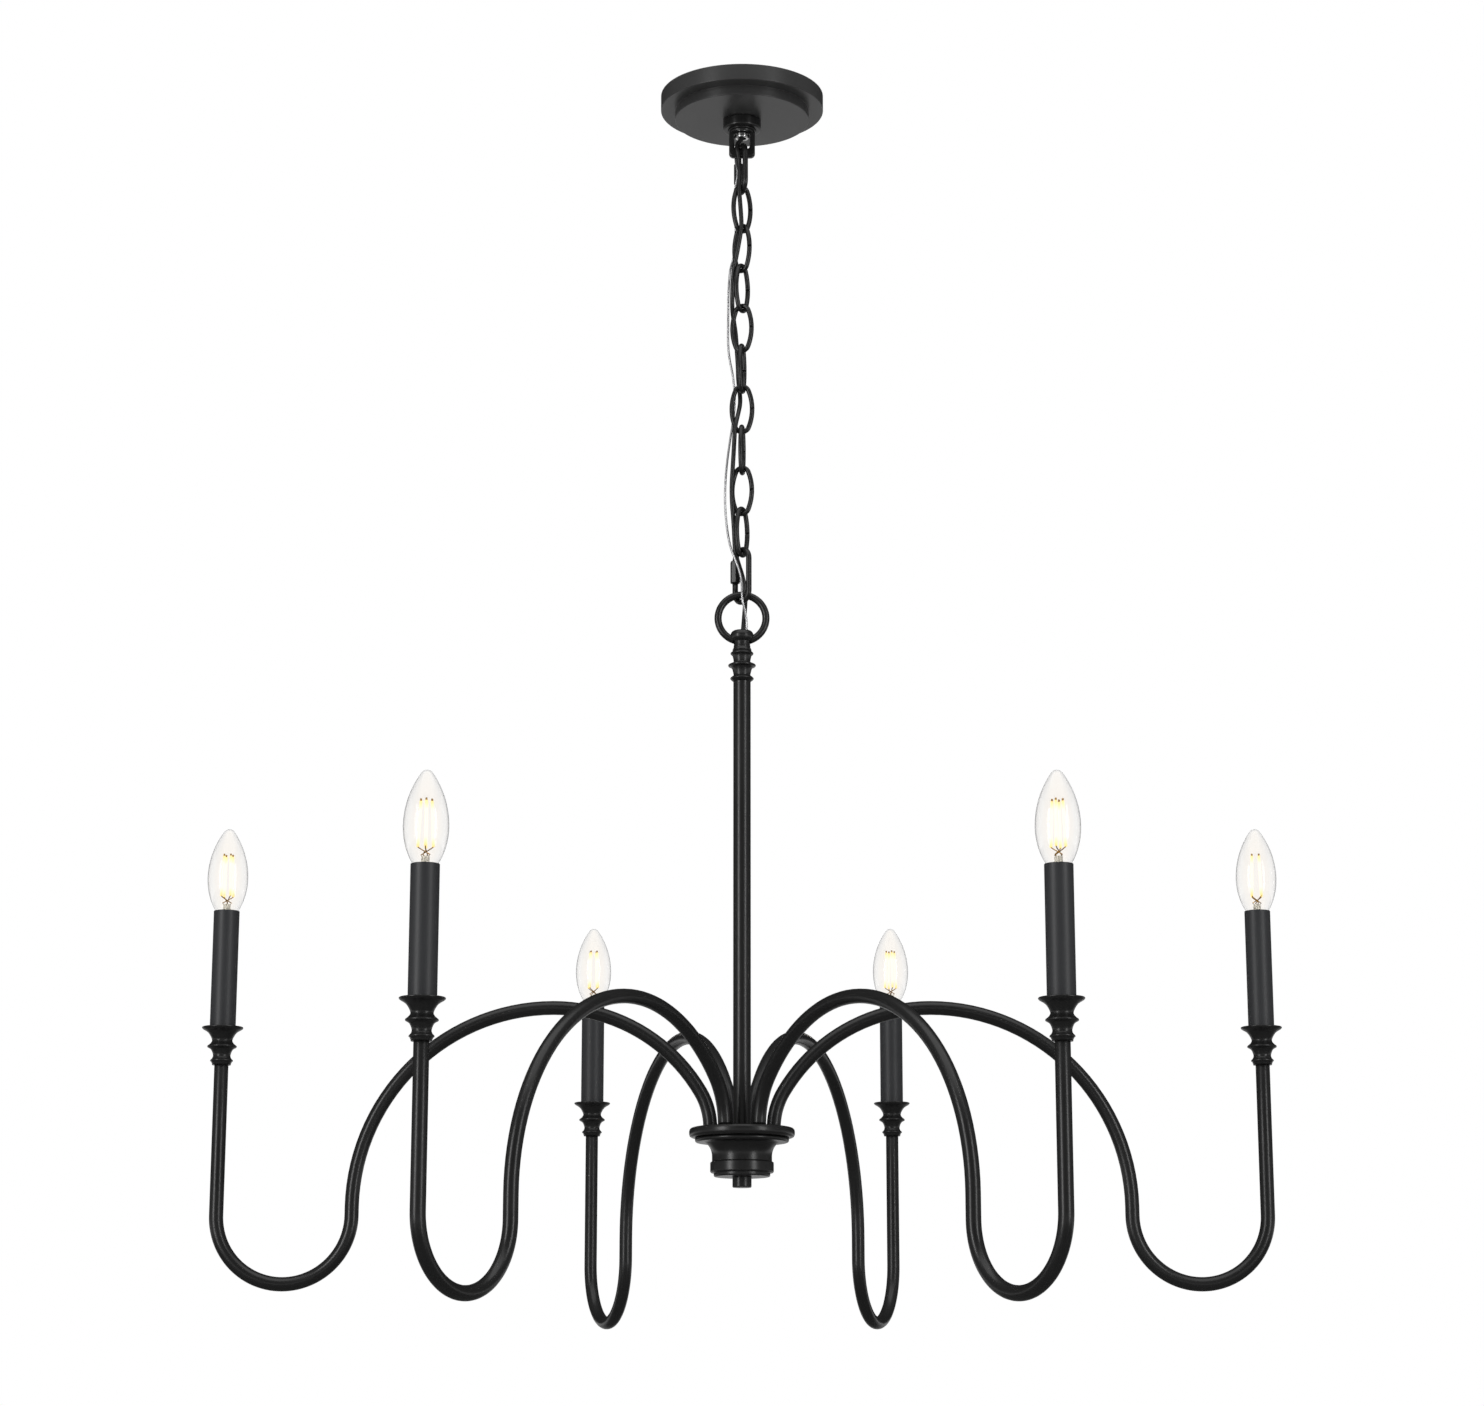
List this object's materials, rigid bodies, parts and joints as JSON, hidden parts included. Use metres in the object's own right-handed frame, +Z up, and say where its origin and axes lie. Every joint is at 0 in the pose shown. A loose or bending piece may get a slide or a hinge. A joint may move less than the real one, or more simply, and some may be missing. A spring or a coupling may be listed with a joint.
{
  "type": "multi arm chandelier",
  "caption": "Black candle chandelier: swooping tube arms with cups, sleeves and clear bulbs round a turned hub, hung on a stem and chain from a stepped ceiling canopy.",
  "frame": {"origin": "on the ceiling, at the middle of the mounting strap's top face", "axes": "+Z up, +X along the mounting strap, -Y towards the pictured front"},
  "size_m": [0.925, 0.8316, 1.0963],
  "materials": {
    "black_paint": "satin",
    "zinc_steel": "satin",
    "candle_sleeve": "matte",
    "holder_plastic": "matte",
    "cord_jacket": "matte",
    "clear_jacket": "gloss",
    "clear_glass": "gloss",
    "cap_metal": "satin",
    "filament": "matte"
  },
  "bodies": {
    "ceiling_mount": {"mounting_strap": "zinc_steel", "strap_nipple": "zinc_steel", "nipple_nuts": "zinc_steel", "canopy_loop": "black_paint"},
    "canopy": {"canopy": "black_paint", "canopy_collar": "black_paint"},
    "chain": {"top_quick_link": "black_paint", "chain_links": "black_paint", "lower_quick_link": "black_paint", "flex_cord": "cord_jacket", "ground_wire": "clear_jacket"},
    "top_link_nut": {"top_link_nut": "black_paint"},
    "lower_link_nut": {"lower_link_nut": "black_paint"},
    "fixture": {"stem_loop": "black_paint", "stem_neck": "black_paint", "stem_tube": "black_paint", "center_pipe": "zinc_steel", "hub_plate": "black_paint", "hub_cover": "black_paint", "hub_plug": "black_paint", "arm_nuts": "zinc_steel", "arm_1": "black_paint", "arm_2": "black_paint", "arm_3": "black_paint", "arm_4": "black_paint", "arm_5": "black_paint", "arm_6": "black_paint", "candle_cup_1": "black_paint", "candle_cup_2": "black_paint", "candle_cup_3": "black_paint", "candle_cup_4": "black_paint", "candle_cup_5": "black_paint", "candle_cup_6": "black_paint", "candle_sleeve_1": "candle_sleeve", "candle_sleeve_2": "candle_sleeve", "candle_sleeve_3": "candle_sleeve", "candle_sleeve_4": "candle_sleeve", "candle_sleeve_5": "candle_sleeve", "candle_sleeve_6": "candle_sleeve", "lampholders": "holder_plastic"},
    "bulb_1": {"bulb_glass_1": "clear_glass", "bulb_cap_1": "cap_metal", "bulb_filament_1": "filament"},
    "bulb_2": {"bulb_glass_2": "clear_glass", "bulb_cap_2": "cap_metal", "bulb_filament_2": "filament"},
    "bulb_3": {"bulb_glass_3": "clear_glass", "bulb_cap_3": "cap_metal", "bulb_filament_3": "filament"},
    "bulb_4": {"bulb_glass_4": "clear_glass", "bulb_cap_4": "cap_metal", "bulb_filament_4": "filament"},
    "bulb_5": {"bulb_glass_5": "clear_glass", "bulb_cap_5": "cap_metal", "bulb_filament_5": "filament"},
    "bulb_6": {"bulb_glass_6": "clear_glass", "bulb_cap_6": "cap_metal", "bulb_filament_6": "filament"}
  },
  "joints": [
    {"name": "canopy_lower", "type": "slide", "parent": "ceiling_mount", "child": "canopy", "axis": [0, 0, -1], "range_m": [0, 0.024]},
    {"name": "chain_swing", "type": "hinge", "parent": "ceiling_mount", "child": "chain", "pos_m": [0, 0, -0.0552], "axis": [1, 0, 0], "range_deg": [-12, 12], "deforming": ["flex_cord", "ground_wire"]},
    {"name": "fixture_swing", "type": "hinge", "parent": "chain", "child": "fixture", "pos_m": [0, 0, -0.4704], "axis": [1, 0, 0], "range_deg": [-5, 5]},
    {"name": "top_link_nut_turn", "type": "hinge", "parent": "chain", "child": "top_link_nut", "pos_m": [-0.00294, 0.00903, -0.07225], "axis": [0, 0, 1], "continuous": true},
    {"name": "lower_link_nut_turn", "type": "hinge", "parent": "chain", "child": "lower_link_nut", "pos_m": [-0.00598, 0.00738, -0.4478], "axis": [0, 0, 1], "continuous": true},
    {"name": "bulb_1_out", "type": "slide", "parent": "fixture", "child": "bulb_1", "axis": [0, 0, 1], "range_m": [0, 0.03]},
    {"name": "bulb_2_out", "type": "slide", "parent": "fixture", "child": "bulb_2", "axis": [0, 0, 1], "range_m": [0, 0.03]},
    {"name": "bulb_3_out", "type": "slide", "parent": "fixture", "child": "bulb_3", "axis": [0, 0, 1], "range_m": [0, 0.03]},
    {"name": "bulb_4_out", "type": "slide", "parent": "fixture", "child": "bulb_4", "axis": [0, 0, 1], "range_m": [0, 0.03]},
    {"name": "bulb_5_out", "type": "slide", "parent": "fixture", "child": "bulb_5", "axis": [0, 0, 1], "range_m": [0, 0.03]},
    {"name": "bulb_6_out", "type": "slide", "parent": "fixture", "child": "bulb_6", "axis": [0, 0, 1], "range_m": [0, 0.03]}
  ]
}
